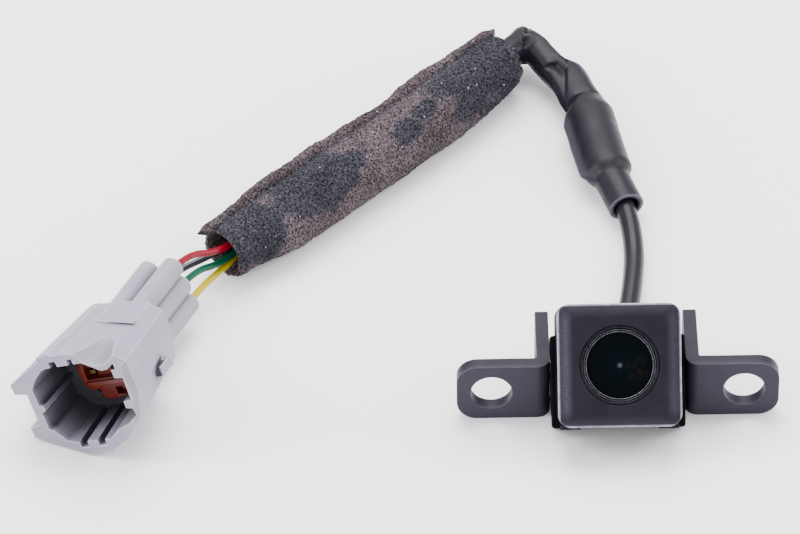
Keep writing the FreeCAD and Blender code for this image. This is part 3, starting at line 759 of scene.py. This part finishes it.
def shrink_point(place, angle, total):
    """A point of the tube's outside, and how strong its painted highlight is there."""
    s, centre, _, side, up = place
    body, tail = smoothstep(s, *BODY_FROM), smoothstep(s, total - TAIL, total)
    wide = NECK_WIDE + BODY_WIDER * body - BODY_WIDER * tail
    high = NECK_HIGH + BODY_HIGHER * body - BODY_HIGHER * tail
    flange = smoothstep(s, 6.5, 10.0) * (1 - smoothstep(s, total - 7.0, total - 2.0))
    left = math.degrees((angle - PINCH_AT + math.pi) % (2 * math.pi) - math.pi)
    flat = flange * math.exp(-((left / PINCH_WIDTH) ** 4))
    x = wide * math.cos(angle) - PINCH_OUT * flat
    z = high * math.sin(angle) - PINCH_DOWN * flat
    z -= flange * DENT * hump(math.degrees(angle), DENT_AT, DENT_WIDTH)
    wob = 0.015 * noise.noise(Vector((s * 0.35, math.cos(angle) * 1.4, math.sin(angle) * 1.4)))
    point = centre + side * (x * (1 + wob)) + up * (z * (1 + wob))
    point.z = max(point.z, SHRINK_FLOOR)
    # painted highlight round the open end's rim and on the upper side of the flat edge
    rim_highlight = 0.3 * (1 - smoothstep(s, 0.1, 0.35))
    return point, max(0.10 * flat * (1 - smoothstep(left, 0, 6)), rim_highlight)


def make_shrink():
    """Open ring and neck round the cable, a step, then a wide body with a pinched flat edge on its left."""
    places = stations(SHRINK_ROUTE, SHRINK_ALONG)
    total = places[-1][0]
    angles = [full_turn(k, SHRINK_AROUND) for k in range(SHRINK_AROUND)]
    rings, pinch_highlight = [], []
    for index in reversed(MOUTH_STATIONS):
        _, centre, _, side, up = places[index]
        rings.append([
            centre + side * (SHRINK_BORE * math.cos(angle)) + up * (SHRINK_BORE * math.sin(angle))
            for angle in angles
        ])
        pinch_highlight += [0.0] * SHRINK_AROUND
    for place in places:
        made = [shrink_point(place, angle, total) for angle in angles]
        rings.append([point for point, _ in made])
        pinch_highlight += [pale for _, pale in made]
    tube = loft("shrink_skin", rings)
    paint(tube, "pinch_highlight", pinch_highlight)
    finish_piece(tube, "shrink_black", "shrink_tube")
    return tube


SLEEVE_AROUND = 120
SLEEVE_ALONG = 220
SLEEVE_WIDE, SLEEVE_HIGH = 3.5, 3.0  # half sizes
SLEEVE_FLOOR = 0.3
# Folds of the flat sleeve, from above: start, end, depth, and how wide the sunk side is.
FOLDS = [
    ((-6.7, 77.5), (-6.3, 91.5), 1.3, 2.2),
    ((-6.4, 90.8), (-10.8, 90.0), 0.8, 1.8),
    ((-14.2, 101.5), (-14.6, 95.0), 1.2, 1.2),
]
STACK_TOP = 2.07  # the uppermost wire's centre over the sleeve's
STACK_HALF = 0.8  # the skin stays this far from that centre


def fold_depth(x, y):
    """How far the folds sink the sleeve's top at (x, y)."""
    depth = 0.0
    for (x0, y0), (x1, y1), deep, wide in FOLDS:
        dx, dy = x1 - x0, y1 - y0
        size = math.hypot(dx, dy)
        along = ((x - x0) * dx + (y - y0) * dy) / size
        off = ((x - x0) * dy - (y - y0) * dx) / size
        held = smoothstep(along, -1.0, 1.5) * (1 - smoothstep(along, size - 1.5, size + 0.8))
        sunk = smoothstep(-off, -0.12, 0.18) * hump(max(0.0, -off), 0.0, wide)
        depth += deep * held * sunk
    return depth


def sleeve_widths(s, total):
    """Half widths on the inside and the outside of the sleeve's turn."""
    inner = SLEEVE_WIDE + 0.35 * smoothstep(s, 3, 8) - 0.9 * smoothstep(s, total - 5, total)
    inner += 1.3 * hump(s, 2.0, 5.5)
    kink, peak = 0.6 * hump(s, 3.0, 3.5), 3.0 * hump(s, 20.9, 1.5)
    outer = SLEEVE_WIDE - kink - 1.7 * smoothstep(s, 8, 12) + peak
    return inner, outer


def sleeve_point(place, angle, inner, outer):
    """A point of the flattened skin, sunk at the folds but kept over the uppermost wire."""
    _, centre, _, side, up = place
    c, d = math.cos(angle), math.sin(angle)
    x = (outer if c > 0 else inner) * math.copysign(abs(c) ** 0.75, c)
    z = SLEEVE_HIGH * math.copysign(abs(d) ** (1.05 if abs(d) > 0.6 else 1.3), d)
    point = centre + side * x + up * z
    if d > 0:
        sink = fold_depth(point.x, point.y) * smoothstep(d, 0.0, 0.35)
        z -= sink + 0.10 * noise.noise(point * 0.4) * smoothstep(d, 0.0, 0.6)
        if abs(x) < STACK_HALF:
            z = max(z, STACK_TOP + math.sqrt(max(0.0, STACK_HALF ** 2 - x * x)))
        point = centre + side * x + up * z
    point.z = max(point.z, SLEEVE_FLOOR)
    return point


def make_sleeve():
    """Flattened sleeve that folds at a kink, folds again at its peak and goes into the foam."""
    places = stations(SLEEVE_ROUTE, SLEEVE_ALONG)
    total = places[-1][0]
    rings = []
    for place in places:
        inner, outer = sleeve_widths(place[0], total)
        rings.append([
            sleeve_point(place, full_turn(k, SLEEVE_AROUND), inner, outer) for k in range(SLEEVE_AROUND)
        ])
    sleeve = loft("sleeve_skin", rings, cap=True)
    paint(sleeve, "pinch_highlight", [0.0] * len(sleeve.data.vertices))
    finish_piece(sleeve, "shrink_black", "flat_sleeve")
    return sleeve


# ---- stage and lights, in metres and watts

FLOOR_SIZE = 6.0
LIT_PLACE = Vector((-0.04, 0.04, 0.0))
SKY_COLOR, SKY_STRENGTH = (0.97, 0.97, 1.0, 1), 1.6
COOL = (0.96, 0.96, 1.0)
# name, size, power, place and colour
LIGHTS = [
    ("top_light", (0.7, 0.7), 15.0, (-0.05, 0.45, 0.8), (1, 1, 1)),
    ("left_light", (0.3, 0.7), 8.0, (-0.75, -0.05, 0.45), COOL),
    ("right_light", (0.3, 0.7), 7.0, (0.70, 0.10, 0.40), COOL),
]


def make_stage():
    """A plain pale floor at z 0."""
    h = FLOOR_SIZE / 2
    mesh = bpy.data.meshes.new("floor")
    mesh.from_pydata([(-h, -h, 0), (h, -h, 0), (h, h, 0), (-h, h, 0)], [], [(0, 1, 2, 3)])
    floor = add_object("floor", mesh)
    n = Nodes("floor")
    n.put("Specular IOR Level", 0.1)
    base = n.mix(n.noise(0.4), (0.93, 0.93, 0.94), (0.96, 0.96, 0.965))
    floor.data.materials.append(n.finish(base, 0.9, None))


def make_lights():
    """A bright sky and three soft rectangles that face the part."""
    world = bpy.data.worlds.new("studio")
    world.use_nodes = True
    sky = world.node_tree.nodes["Background"]
    sky.inputs["Color"].default_value = SKY_COLOR
    sky.inputs["Strength"].default_value = SKY_STRENGTH
    bpy.context.scene.world = world
    for name, size, watts, place, color in LIGHTS:
        data = bpy.data.lights.new(name, "AREA")
        data.shape = "RECTANGLE"
        data.size, data.size_y = size
        data.energy = watts
        data.color = color
        light = add_object(name, data)
        light.location = place
        light.rotation_euler = (LIT_PLACE - Vector(place)).to_track_quat("-Z", "Y").to_euler()


# ---- everything

# nodes that don't wear the look of their own slot
OTHER_LOOKS = {
    "front_cover": "cover_look", "rear_housing": "shaded_housing_look", "lens_retaining_ring": "ring_look",
}
# nodes that a piece made here stands for
REPLACED = {
    "camera_cable", "shrink_tube", "flat_sleeve", "foam_wrap",
    "wire_red", "wire_black", "wire_green", "wire_yellow",
}


def dress_nodes():
    """Gives every other CAD object its material."""
    slots = {row["node"]: row["material_slot"] for row in frame["record"]["subparts"]}
    for name, obj in frame["nodes"].items():
        if name in REPLACED:
            continue
        obj.data.materials.clear()
        obj.data.materials.append(MATERIALS[OTHER_LOOKS.get(name, slots[name])])


make_camera()
MATERIALS = make_materials()
FOAM = make_foam()
SHRINK = make_shrink()
SLEEVE = make_sleeve()
make_cords()
dress_nodes()
make_stage()
make_lights()
